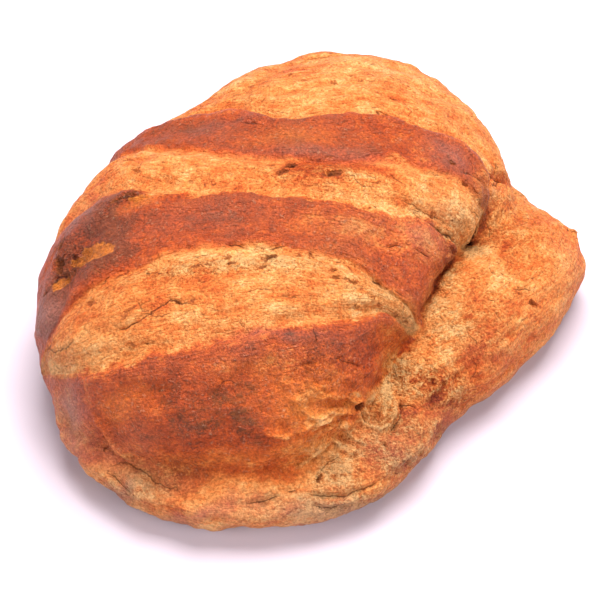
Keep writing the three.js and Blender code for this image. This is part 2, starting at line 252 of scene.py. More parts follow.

# Patches of colour: place, reach along a and b, then how much browner, more plum and more golden
# Partly the crust's own colour, partly painted light: they make the walls by the cleft, the front face
# and the shaded front folds paler, and their plum is partly a painted sheen
PATCHES = [
    (-46, 51, 31, 5, 0.18, 0.2), (-11, 35, 22, 6, -0.18, 0, 0.3), (5, 25, 40, 5, 0.12, 0.2),
    (76, 39, 16, 11, 0.03, 0.4), (101, 22, 11, 13, -0.2, 0.25, 0.1), (-84, 18, 25, 11, 0.04),
    (-2, 8, 18, 7, 0.25), (32, -7, 28, 4, -0.18), (19, 16, 27, 4, 0.25), (82, 5, 17, 8, -0.2, 0.1),
    (-117, -1, 17, 17, 0.2, 0.4), (-137, -49, 10, 15, 0.38, 0.5), (21, -29, 15, 8, -0.3, 0, 0.1),
    (-3, -27, 10, 7, -0.1, 0, 0.1), (60, -19, 14, 8, -0.3, 0.3), (-123, -30, 9, 6, 0.25, 0, 0.1),
    (-57, -22, 28, 9, 0.1, 0.1), (-88, -6, 9, 4, -0.4, 0, 0.4), (-26, -50, 38, 8, -0.12),
    (-128, -77, 20, 12, -0.14, 0.12, 0.15), (27, -66, 22, 7, -0.18), (-65, -84, 28, 4, 0.02),
    (-60, -62, 25, 8, 0.06, 0, 0.1), (-18, -88, 21, 3, 0.18, 0.4), (-76, -103, 11, 6, 0.08),
    (-95, -107, 13, 8, -0.2, 0, 0.4), (-50, -127, 25, 13, 0.11), (-2, -118, 23, 13, -0.3, 0, 0.45),
    (-52, -145, 38, 5, -0.15, 0, 0.35), (-40, -115, 60, 25, 0, 0, 0.22), (-44, -100, 28, 6, -0.18),
    (7, -93, 16, 6, -0.05, 0, 0.1), (-134, -98, 16, 12, -0.3, 0.6), (30, -86, 15, 7, -0.05, 0, 0.1),
    (50, -94, 10, 8, -0.45, 0, 0.1), (84, -104, 27, 9, 0.18), (121, -16, 15, 23, -0.08),
    (100, -19, 7, 21, 0.1, 0, 0.1), (154, 4, 10, 22, -0.07, 0.1), (131, 37, 15, 21, 0.06, 0, 0.1),
    (108, -71, 27, 13, 0, 0.05), (-109, -144, 20, 6, 0, 0.55), (-65, -166, 30, 5, 0.05, 0.5),
    (22, -176, 42, 8, -0.05, 0.35), (95, -128, 22, 10, 0.12, 0.3), (-44, -158, 28, 3, -0.06),
    (14, -156, 16, 6, 0, 0.1, 0.1), (27, 98, 33, 11, 0.02, 0.1), (8, 72, 32, 12, 0.05),
    (7, -41, 8, 5, -0.14, 0, 0.15), (-47, 80, 18, 11, 0.1), (81, 79, 16, 22, 0.03, 0.05),
    (62, -85, 10, 20, -0.15), (49, -113, 3.5, 7, -0.7), (42, -124, 6, 5, 0.1, 0, 0.3),
    (62, -121, 7, 4, 0.3, 0.2), (82, -114, 10, 3, 0.3, 0.1), (50, -146, 26, 7, 0, 0.2),
    (113, 24, 6, 20, 0.05, 0, 0.1), (26, -118, 4, 1.6, -0.5), (-26, -132, 20, 6, 0.07),
    (-20, -92, 40, 9, 0.06, 0.1), (60, -150, 40, 7, -0.04, 0.1), (-20, -168, 45, 6, -0.12, 0.3),
    (-132, -112, 10, 16, -0.25, 0.35), (104, 20, 9, 12, -0.08, 0, 0.1),
    (16, -152, 14, 7, -0.12, 0, 0.1), (-30, -147, 36, 4, -0.16), (-90, -150, 24, 6, -0.15, 0.3),
    (60, -24, 16, 8, -0.08), (-8, -22, 24, 8, -0.06), (28, -24, 26, 8, -0.2),
    (-97, -62, 12, 14, 0.1, 0, 0.1), (-13, -86, 8, 6, 0.12), (74, -10, 14, 9, -0.1, 0.1, 0.05),
    (96, 14, 12, 14, -0.05, 0, 0.3), (60, -66, 13, 10, -0.2, 0, 0.4), (14, -158, 11, 7, -0.1, 0.05),
    (56, -138, 30, 9, -0.02, 0.2), (121, 9, 9, 6, 0.12), (133, -6, 8, 6, 0.08), (121, -24, 9, 6, -0.16),
    (103, -40, 12, 6, 0.1, 0.05), (92, -65, 9, 8, -0.14), (81, -81, 8, 6, -0.12),
    (141, -29, 8, 8, 0.08), (119, -58, 12, 7, 0.06), (4, -138, 22, 13, -0.24, 0, 0.2),
    (-5, -146, 12, 7, -0.26, 0, 0.2), (33, -115, 9, 8, -0.14, 0, 0.1),
    (-101, -130, 22, 12, -0.2, 0.3, 0.1), (-128, -112, 12, 13, -0.08, 0.3), (-104, -14, 12, 15, 0.22),
    (-92, -77, 20, 7, -0.08), (62, -132, 12, 8, 0.08, 0.15, 0.1), (79, -44, 8, 18, -0.3, 0, 0.15),
    (45, -78, 9, 6, -0.32, 0, 0.15), (24, -45, 14, 5, -0.16, 0, 0.15), (105, 1, 8, 7, -0.26, 0, 0.1),
    (9, -172, 24, 7, -0.2, 0.1), (106, -87, 12, 8, 0.18), (-73, 0, 10, 6, 0.16),
    (-102, -32, 16, 14, 0.24), (-102, -10, 13, 11, 0.16, -0.25), (-136, -44, 8, 14, 0.2),
    (21, -125, 7, 6, -0.18, 0, 0.3), (34, -150, 10, 8, 0.14, 0, 0.1), (-48, -167, 24, 6, 0.14, 0, 0.1),
    (-88, -141, 12, 6, -0.1, 0, 0.1), (-114, -125, 7, 7, -0.14, 0.1, 0.1), (-46, -47, 18, 8, -0.12),
    (30, 14, 10, 5, 0.1), (40, 31, 10, 5, 0.12), (97, 10, 9, 12, 0.18, 0, 0.35),
    (51, 4, 9, 6, 0.1, 0, 0.1), (-64, -127, 22, 10, 0.08), (-88, -152, 26, 7, 0.12, 0, 0.1),
    (-106, -44, 12, 12, 0.12, 0, 0.05), (118, -72, 20, 10, 0.07), (-13, -5, 9, 5, 0.08, 0, 0.05),
    (100, 32, 10, 8, -0.12, 0, 0.1), (-33, -103, 12, 6, -0.12, 0, 0.1),
    (40, -56, 12, 6, -0.12, 0, 0.05), (34, -113, 7, 6, -0.12, 0, 0.1), (-107, 13, 9, 7, -0.14, 0, 0.15),
    (107, -1, 9, 9, -0.2, 0, 0.05), (-136, -49, 8, 12, 0.26), (-139, -76, 7, 10, -0.12),
    (-99, -31, 10, 9, 0.14), (-43, -111, 12, 7, 0.14), (-33, -122, 12, 7, 0.14),
    (9, -172, 12, 6, -0.14), (-65, -126, 10, 7, 0.14), (62, -66, 8, 10, -0.18),
    (-50, -108, 34, 14, 0.05, 0, -0.04), (-122, -21, 10, 8, 0.1, 0, -0.05),
]

# The cleft between the lobe and the dome, back to front: the places it passes and its depth
CLEFT = [
    (128, 60, 1), (115, 51, 2.5), (105, 44, 2), (103, 34, 1.5), (108, 29, 1.5), (113, 24, 1.5),
    (112, 16, 2.5), (108, 9, 5), (102, 0, 3.2), (96, -11, 3), (89, -20, 4.2), (85, -30, 2.6),
    (82, -40, 4.6), (78, -48, 3.6), (76, -57, 2), (75, -66, 1.5), (69, -78, 1.5), (60, -88, 1.2),
    (53, -100, 1), (46, -109, 0.4),
]
# The streaks of the lobe and of the skirt in front run round this place, at about this distance
LOBE_MIDDLE = (-10, 60)
LOBE_BEND = 190
CLEFT_WIDTH = 1.6
SEAM_LENGTH = 170

# Small slits and pores at random places, more of them where the crust has opened: the ranges of half
# their length, half their width and their depth, and the spread of their turn in degrees
SEED = 11
SLITS = 44
STRAY_SLITS = 0.03
SLIT_SQUARE = 150
SLIT_REACH = 125
SLIT_MARGIN = 3
LOBE_FROM = 105
LONE_SLIT = {"length": (1.2, 3.2), "width": (0.5, 1.0), "turn": 18, "depth": (0.5, 1.3)}
CROWDED_SLIT = {"length": (1.4, 3.4), "width": (0.3, 0.6), "turn": 20, "depth": (0.5, 1.2)}
# Where slits crowd together: place, reach along a and b, and how many
CROWDS = [
    (-40, -46, 36, 5, 34), (-8, 11, 24, 6, 14), (112, -30, 10, 12, 10), (30, 94, 30, 10, 12),
    (32, -62, 22, 6, 14),
]

# How brown the crust is, from cream to nearly black, as colours in the way screens show them
BROWNING = [
    (0.0, (232, 176, 114)), (0.15, (224, 149, 83)), (0.3, (214, 123, 57)), (0.45, (200, 94, 36)),
    (0.6, (182, 72, 22)), (0.75, (158, 56, 16)), (0.9, (122, 42, 14)), (1.0, (86, 30, 14)),
]
# A greyish plum, partly the crust's own tint and partly a painted pinkish sheen, laid on the left side
# and round the base
PLUM = (160, 108, 98)
DULL = (160, 84, 54)
GOLD = (210, 119, 44)
TORN = (140, 70, 26)
# Painted highlight: pale glints scattered over the dark strips
GLINT = (238, 182, 144)
# Painted shade: a near-black brown laid into the middle of deep holes and along cracks and the cleft
HOLLOW_SHADE = (70, 26, 8)
OPEN_TONE = 0.26
SKIN_TONE = 0.68
FOOT_TONE = 0.31
# How much browner, more plum (partly a painted sheen) and more golden the lowest part is
LOW_CRUST = (-0.08, 0.5, 0)

# The dark strips in the material: how blurred each edge is, and the part of the map that they fill
EDGE_BLURS = [1.0, 1.8, 1.2, 2.2, 2.5, 4.0]
RAMP_START = -160
RAMP_END = 260

# The material is made of named parts. Some are values of the mesh, and the rest come from the tables
# from here on. Round noises have a scale, detail and roughness. Long ones lie along the strips, and
# have a length and a width in millimetres in place of the scale
ROUND_NOISES = {
    "grain": (800.0, 3.0, 0.7), "speck": (500.0, 2.0, 0.5), "mottle": (240.0, 3.0, 0.6),
    "blotch": (95.0, 3.0, 0.55), "cloud": (32.0, 2.0, 0.5),
}
LONG_NOISES = {
    "long_streak": (14, 1.5, 4.0, 0.65), "long_shred": (5, 1.6, 3.0, 0.6),
    "long_crinkle": (3.4, 1.3, 3.0, 0.7), "tears": (3.6, 0.9, 2.0, 0.5),
}
# Parts that rise from 0 to 1: between which two values, and of which sum
RISES = {
    "in_front": (150.0, 175.0, {"strip": 1}),
    "behind_front": (165.0, 135.0, {"strip": 1}),
    "on_dome": (-1.0, 1.5, {"side": 1, "blotch": 5.0, "mottle": 3.0}),
    "uneven": (0.0, 0.8, {"rough": 1, "blotch": 0.5}),
    "very_rough": (0.1, 0.9, {"rough": 1}),
    "near_hole": (-1.2, 0.2, {"hole": 1}),
    "near_plate": (-1.0, 0.2, {"plate": 1}),
    "in_plate": (-0.1, 0.5, {"plate": 1, "mottle": 4.0}),
    "torn": (0.15, 0.24, {"tears": 1}),
    "torn_place": (0.06, 0.22, {"cloud": 1, "blotch": 1, "skin": -0.1, "base": 0.1}),
    # rim: the inside and edge of a hole, laid with a darker torn brown, partly the torn crust's colour
    # and partly painted shade in the hole
    "rim": (-0.25, 0.3, {"hole": 1, "mottle": 4.0, "grain": 1.5}),
    # core: the middle of a hole, where shade is painted in, darker the deeper the hole
    "core": (1.0, 1.8, {"hole": 1, "mottle": 3.0, "dark": 1.2}),
    # The dark lines painted along the cracks and down the cleft stand for the shade in them
    "crack_line": (0.0, 0.25, {"width": 1.3, "crack_gap": -1}),
    "cleft_line": (3.3, 4.6, {"cleft": 1, "mottle": 3.0}),
    "wide_crack": (0.1, 0.5, {"width": 1}),
    "deep_cleft": (2.0, 3.0, {"cleft": 1}),
    "glint": (0.12, 0.26, {"speck": 1, "grain": -0.5}),
}
# Parts that are sums of others in these shares, and of a base
SUMS = {
    "streaked": {"in_front": -0.7, "base": 1.0},
    "strip_edge": {"strip": 1, "streak": 6.0, "blotch": 8.0, "mottle": 4.0, "grain": 2.5},
    "crinkled": {"crinkle": 1, "speck": 0.6},
    "crack_side": {"crack": 1, "mottle": 1.6, "grain": 1.2},
    "faint_cleft": {"cleft_line": 0.8},
    # In the brown tone the cleft and near_hole shares paint shade into the cleft and round the holes; the
    # fine share makes high relief paler and low relief darker, partly the crust's own colour and partly
    # painted light and shade
    "brown": {
        "base": FOOT_TONE, "on_dome": OPEN_TONE - FOOT_TONE, "skin": SKIN_TONE - OPEN_TONE, "tone": 1,
        "cloud": 0.5, "blotch": 0.5, "mottle": 0.35, "streak": 0.4, "shred": 0.35, "grain": 0.5,
        "fine": -0.09, "crumple": -1, "skin_tone": 0.2, "rough_tone": 1, "very_rough": 0.04,
        "cleft": 0.08, "near_hole": 0.1, "near_plate": 0.12,
    },
    "soft_spots": {"mottle": 1, "blotch": 1},
    "rough_spots": {"mottle": 0.8, "grain": 1},
    "dull_spots": {"cloud": 1, "mottle": 0.8, "base": 0.36},
    "plum_spots": {"cloud": 1.5, "blotch": 1, "base": 0.8},
    "gold_spots": {"mottle": 2.0, "base": 0.7},
    "tear_stain": {"tear": 0.7},
    "hole_colour_and_shade": {"rim": 0.7},
    "line_strength": {"wide_crack": 0.4, "deep_cleft": 0.4, "base": 0.45},
    "painted_glint": {"skin_glint": 0.26},
    "shade": {"grain": -1.2, "speck": -1, "mottle": 0.1, "shred": 0.2, "streak": 0.2, "base": 0.98},
    "sheen": {"skin": -0.2, "grain": 0.4, "base": 0.64},
    "crumbs": {"grain": 1.5, "speck": 1.5, "mottle": 1.5},
    "height": {
        "grain": 0.8, "speck": 0.5, "mottle": 0.9, "streak": 0.7, "shred": 0.8, "crumple": 1.6,
        "rough_height": 1, "tear": -0.25, "line": -0.3, "rim": -0.2,
    },
}
# Parts that are worked out of others
MATHS = {
    "streak": ("MULTIPLY", "long_streak", "streaked", "calm"),
    "shred": ("MULTIPLY", "long_shred", "calm"),
    "crinkle": ("MULTIPLY", "long_crinkle", "calm"),
    "skin": ("MULTIPLY", "dark_strips", "on_dome"),
    "fold": ("ABSOLUTE", "crinkled"),
    "crumple": ("MULTIPLY", "fold", "uneven"),
    "skin_tone": ("MULTIPLY", "skin", "soft_spots"),
    "rough_tone": ("MULTIPLY", "rough", "rough_spots"),
    "rough_height": ("MULTIPLY", "rough", "crumbs"),
    "tear": ("MULTIPLY", "torn", "torn_place"),
    "crack_gap": ("ABSOLUTE", "crack_side"),
    "line": ("MAXIMUM", "crack_line", "faint_cleft"),
    "golden": ("MAXIMUM", "gold", "in_plate"),
    "skin_glint": ("MULTIPLY", "glint", "skin"),
    "dull_stain": ("MULTIPLY", "skin", "behind_front", "dull_spots"),
    "plum_and_painted_sheen": ("MULTIPLY", "plum", "plum_spots"),
    "gold_stain": ("MULTIPLY", "golden", "gold_spots"),
    "painted_core_shade": ("MULTIPLY", "core", "dark"),
    "painted_line_shade": ("MULTIPLY", "line", "line_strength"),
}
# The colours laid over the brown one after the other, each by a part
# Some are the crust's own colours; the others paint shade into holes, cracks and the cleft, a pinkish
# sheen and glints
STAINS_AND_PAINTED_LIGHT = [
    ("dull_stain", DULL), ("plum_and_painted_sheen", PLUM), ("gold_stain", GOLD), ("tear_stain", TORN),
    ("hole_colour_and_shade", TORN), ("painted_core_shade", HOLLOW_SHADE), ("painted_line_shade", HOLLOW_SHADE), ("painted_glint", GLINT),
]
# Where a mix node has the share, the two colours and the mixed colour
COLOUR_MIX_INPUTS = (0, 6, 7)
COLOUR_MIX_OUTPUT = 2
SPECULAR = 0.25
BUMP_DISTANCE = 0.003

# Camera, in millimetres and degrees
CAMERA_TARGET = (-8.7, -15.1, 32.5)
CAMERA_DISTANCE = 1150
CAMERA_ELEVATION = 50
FRAME_WIDTH = 327
SENSOR = 36

# Lights: name, size in metres, watts and place in metres
LIGHTS = [
    ("key", 0.9, 39, (0.1, 0.4, 1.2)),
    ("right_fill", 0.8, 16.5, (1.0, -0.85, 0.65)),
    ("left_fill", 0.8, 13, (-1.15, -0.6, 0.6)),
]
LIGHT_COLOUR = (1.0, 0.98, 0.95)
STUDIO_COLOUR = (1.0, 0.92, 0.92, 1)
STUDIO_STRENGTH = 0.22
FLOOR_COLOUR = (0.57, 0.5, 0.58, 1)
FLOOR_ROUGHNESS = 0.9
FLOOR_HALF = 3.0


def smooth(start, end, value):
    t = np.clip((value - start) / (end - start), 0, 1)
    return t * t * (3 - 2 * t)


def through(values, t, closed=False):
    """A smooth line through values at even steps, for t counted in steps."""
    row = np.asarray(values, float)
    count = len(row)
    first = np.floor(t).astype(int)
    f = t - first
    around = [first - 1, first, first + 1, first + 2]
    a, b, c, d = [row[i % count] if closed else row[np.clip(i, 0, count - 1)] for i in around]
    return 0.5 * (
        2 * b + (c - a) * f + (2 * a - 5 * b + 4 * c - d) * f * f + (3 * b - a - 3 * c + d) * f**3
    )


def lump_distance(lump, x, y, z):
    dx, dy, dz = x - lump["centre"][0], y - lump["centre"][1], z - lump["waist"]
    out = np.hypot(dx, dy)
    turn = np.arctan2(dy, dx) / (2 * np.pi)
    across = out / through(lump["reach"], turn * len(lump["reach"]), closed=True)
    rise = through(lump["rise"], turn * len(lump["rise"]), closed=True)
    up = np.where(dz > 0, dz / (rise - lump["waist"]), -dz / (lump["waist"] + lump["undercut"]))
    power = lump["roundness"]
    scale = np.maximum((across**power + up**power) ** (1 / power), TINY)
    return (scale - 1) * np.hypot(out, dz) / scale


def smooth_min(a, b, fillet):
    mix = np.clip(0.5 + 0.5 * (b - a) / fillet, 0, 1)
    return b * (1 - mix) + a * mix - fillet * mix * (1 - mix)


def fillet_at(x, y):
    fillet = SEAM_FILLET
    for corner_x, corner_y, reach, soft in SOFT_CORNERS:
        gap = ((x - corner_x) ** 2 + (y - corner_y) ** 2) / reach**2
        fillet = fillet + (soft - SEAM_FILLET) * np.exp(-gap)
    return fillet


def hill(height, gap, width):
    """A soft hill or valley, half as high at its width."""
    return height * np.exp(-math.log(2) * (gap / width) ** 2)


def groove_depth(line, width, x, y, z):
    """How deep a groove is at a point, taken from the nearest of its straight stretches."""
    deepest = 0
    for (ax, ay, az, a_depth), (bx, by, bz, b_depth) in zip(line, line[1:]):
        ux, uy, uz = bx - ax, by - ay, bz - az
        along = ((x - ax) * ux + (y - ay) * uy + (z - az) * uz) / (ux**2 + uy**2 + uz**2)
        k = np.clip(along, 0, 1)
        gap = np.sqrt((x - ax - ux * k) ** 2 + (y - ay - uy * k) ** 2 + (z - az - uz * k) ** 2)
        deepest = np.maximum(deepest, hill(a_depth + (b_depth - a_depth) * k, gap, width))
    return deepest


def dough_field(x, y, depth):
    """Less than zero in the bread, more outside it."""
    z = np.maximum(depth, PRISM_TOP)
    dome, foot = lump_distance(DOME, x, y, z), lump_distance(FOOT, x, y, z)
    field = smooth_min(dome, foot, fillet_at(x, y))
    for height, along_x, along_y, along_z, phase in WAVES:
        flat = np.sin(2 * np.pi * (x / along_x + y / along_y) + phase)
        field = field - height * flat * np.cos(2 * np.pi * z / along_z + phase)
    for width, line in GROOVES:
        field = field + groove_depth(line, width, x, y, z)
    for pocket_x, pocket_y, pocket_z, deep, width in POCKETS:
        gap = np.sqrt((x - pocket_x) ** 2 + (y - pocket_y) ** 2 + (z - pocket_z) ** 2)
        field = field + hill(deep, gap, width)
    return field


def cast(directions):
    """The points of the crust in those directions from the heart, searched from outside."""
    outside = np.full(len(directions), float(FARTHEST))
    searching = np.arange(len(directions))
    while len(searching):
        nearer = outside[searching] - SEARCH_STEP
        points = HEART + directions[searching] * nearer[:, None]
        out = dough_field(*points.T) > 0
        searching = searching[out]
        outside[searching] = nearer[out]
    inside = outside - SEARCH_STEP
    for _ in range(HALVINGS):
        middle = (inside + outside) / 2
        out = dough_field(*(HEART + directions * middle[:, None]).T) > 0
        outside = np.where(out, middle, outside)
        inside = np.where(out, inside, middle)
    return HEART + directions * ((inside + outside) / 2)[:, None]


def directions_of(places):
    """The rays of places on the map, which keeps areas true."""
    reach = np.hypot(*places.T)
    angle = 2 * np.arcsin(np.clip(reach / (2 * MAP_RADIUS), 0, 1))
    share = np.sin(angle) / np.maximum(reach, TINY)
    return np.column_stack([places * share[:, None], np.cos(angle)])


def hex_map(spacing):
    """Places and triangles of an even grid over the map."""
    edge = 2 * MAP_RADIUS * math.sin(math.radians(MAP_EDGE_DEGREES / 2))
    row_step = spacing * math.sqrt(3) / 2
    rows, columns = int(edge / row_step) + 2, int(edge / spacing) + 2
    row, column = np.meshgrid(np.arange(-rows, rows + 1), np.arange(-columns, columns + 1), indexing="ij")
    places = np.stack([(column + 0.5 * (row % 2)) * spacing, row * row_step], -1).reshape(-1, 2)
    index = np.arange(row.size).reshape(row.shape)
    a, b, c, d = index[:-1, :-1], index[:-1, 1:], index[1:, :-1], index[1:, 1:]
    odd = (row % 2 == 1)[:-1, :-1, None]
    first = np.where(odd, np.stack([a, b, d], -1), np.stack([a, b, c], -1))
    second = np.where(odd, np.stack([a, d, c], -1), np.stack([b, d, c], -1))
    triangles = np.concatenate([first.reshape(-1, 3), second.reshape(-1, 3)])
    return keep_used(places, triangles[(np.hypot(*places.T) < edge)[triangles].all(1)])


def keep_used(places, triangles):
    used, triangles = np.unique(triangles, return_inverse=True)
    return places[used], triangles.reshape(-1, 3)


def split_where(places, triangles, wanted):
    """Splits each wanted triangle into four, and its neighbours so that they still meet it."""
    sides = np.sort(triangles[:, [[0, 1], [1, 2], [2, 0]]], axis=2).reshape(-1, 2)
    edges, side_edge = np.unique(sides, axis=0, return_inverse=True)
    side_edge = side_edge.reshape(-1, 3)
    cut = np.zeros(len(edges), bool)
    cut[side_edge[wanted]] = True
    middle = np.full(len(edges), -1)
    middle[cut] = len(places) + np.arange(cut.sum())
    places = np.concatenate([places, places[edges[cut]].mean(axis=1)])
    cuts = cut[side_edge]
    parts = [triangles[cuts.sum(1) == 0]]
    for turn in range(3):
        a, b, c = np.roll(triangles, -turn, axis=1).T
        ab, bc, ca = middle[np.roll(side_edge, -turn, axis=1)].T
        has_ab, has_bc, has_ca = np.roll(cuts, -turn, axis=1).T
        one = has_ab & ~has_bc & ~has_ca
        parts += [np.stack([a, ab, c], 1)[one], np.stack([ab, b, c], 1)[one]]
        two = has_ab & has_bc & ~has_ca
        parts += [np.stack(corner, 1)[two] for corner in ((ab, b, bc), (a, ab, bc), (a, bc, c))]
        if turn == 0:
            three = has_ab & has_bc & has_ca
            corners = (a, ab, ca), (ab, b, bc), (ca, bc, c), (ab, bc, ca)
            parts += [np.stack(corner, 1)[three] for corner in corners]
    return places, np.concatenate(parts)


def strip_place(places):
    """How far a place lies towards the front on the strips laid out straight."""
    a, b = places.T
    t = np.clip((a - EDGE_START) / EDGE_STEP, 0, len(STRIP_EDGES[0]) - 1)
    edges = [through(edge, t) for edge in STRIP_EDGES]
    place = edges[0] - b
    for upper, lower, start, end in zip(edges, edges[1:], STRIP_PLACES, STRIP_PLACES[1:]):
        share = (upper - b) / np.maximum(upper - lower, 1)
        place = np.where(b < upper, start + share * (end - start), place)
    return np.where(b < edges[-1], STRIP_PLACES[-1] + edges[-1] - b, place)


def point_normals(points, triangles):
    corners = points[triangles]
    faces = np.cross(corners[:, 1] - corners[:, 0], corners[:, 2] - corners[:, 0])
    normals = np.zeros_like(points)
    for corner in range(3):
        np.add.at(normals, triangles[:, corner], faces)
    return normals / np.maximum(np.linalg.norm(normals, axis=1), TINY)[:, None]


def noise(points, cell, seed):
    """Smooth random heights from -1 to 1, with hills about as wide as the cell."""
    spots = points / np.asarray(cell, float)
    corner = np.floor(spots).astype(np.int64)
    inner = spots - corner
    inner = inner**3 * (inner * (inner * 6 - 15) + 10)
    total = np.zeros(len(points))
    size = points.shape[1]
    for step in np.ndindex(*[2] * size):
        weight = np.prod(np.where(step, inner, 1 - inner), axis=1)
        total += weight * scatter(corner + np.array(step), seed)
    return total


def scatter(cells, seed):
    """A random number from -1 to 1 for each whole-numbered cell."""
    primes = (73856093, 19349663, 83492791)
    mixed = np.full(len(cells), seed * 2654435761)
    for column, prime in zip(cells.T, primes):
        mixed = mixed ^ (column * prime)
    mixed = mixed & 0xFFFFFFFF
    mixed = ((mixed ^ (mixed >> 13)) * 1274126177) & 0xFFFFFFFF
    return ((mixed ^ (mixed >> 16)) & 0xFFFF) / 32767.5 - 1


def line_gap(places, line):
    """How far each place is from a line on the map, how far along it, 0 to 1, and on which side."""
    knots = np.array(line, float).reshape(-1, 2)
    reached = np.linspace(0, 1, len(knots))
    gap = np.full(len(places), np.inf)
    along, side = np.zeros((2, len(places)))
    for start, end, before, after in zip(knots, knots[1:], reached, reached[1:]):
        step = end - start
        k = np.clip((places - start) @ step / (step @ step), 0, 1)
        off = places - start - k[:, None] * step
        here = np.hypot(*off.T)
        along = np.where(here < gap, before + (after - before) * k, along)
        side = np.where(here < gap, np.sign(step[0] * off[:, 1] - step[1] * off[:, 0]), side)
        gap = np.minimum(gap, here)
    return gap, along, side


def near_line(places, line, margin):
    knots = np.array(line, float).reshape(-1, 2)
    inside = (places > knots.min(0) - margin) & (places < knots.max(0) + margin)
    return np.flatnonzero(inside.all(1))


def hole_gap(places, hole):
    """How far inside the rim of a hole each place is, in shares of its half width."""
    a, b, half_length, half_width, turn = hole[:5]
    angle = math.radians(turn)
    da, db = places[:, 0] - a, places[:, 1] - b
    along = (da * math.cos(angle) + db * math.sin(angle)) / half_length
    across = (db * math.cos(angle) - da * math.sin(angle)) / half_width
    return 1 - np.hypot(along, across)


def slit_shape(draw, sizes):
    """Half the length, half the width and the turn of a random slit."""
    return draw.uniform(*sizes["length"]), draw.uniform(*sizes["width"]), draw.normal(0, sizes["turn"])


def random_slits():
    """Small torn holes, longer along the strips than across them."""
    draw = np.random.default_rng(SEED)
    slits = []
    while len(slits) < SLITS:
        a, b = draw.uniform(-SLIT_SQUARE, SLIT_SQUARE, 2)
        strip = strip_place(np.array([[a, b]]))[0]
        opened = any(start + SLIT_MARGIN < strip < end - SLIT_MARGIN for start, end in OPENINGS)
        keep = draw.random() < (1 if opened or a > LOBE_FROM else STRAY_SLITS)
        shape = slit_shape(draw, LONE_SLIT)
        if keep and math.hypot(a, b) < SLIT_REACH:
            slits.append((a, b, *shape, draw.uniform(*LONE_SLIT["depth"])))
    for a, b, reach_a, reach_b, count in CROWDS:
        for _ in range(count):
            place = draw.normal(a, reach_a), draw.normal(b, reach_b)
            slits.append((*place, *slit_shape(draw, CROWDED_SLIT), draw.uniform(*CROWDED_SLIT["depth"])))
    return slits


def relief(name, points):
    """The heights that the table of relief gives for this name."""
    height, cell, seed = RELIEF[name]
    return height * noise(points, cell, seed)


def torn_step(past, fade):
    """A sharp step at a torn edge that fades out past it."""
    return TORN_STEP * (smooth(-TEAR, TEAR, past) - smooth(0, fade, past))


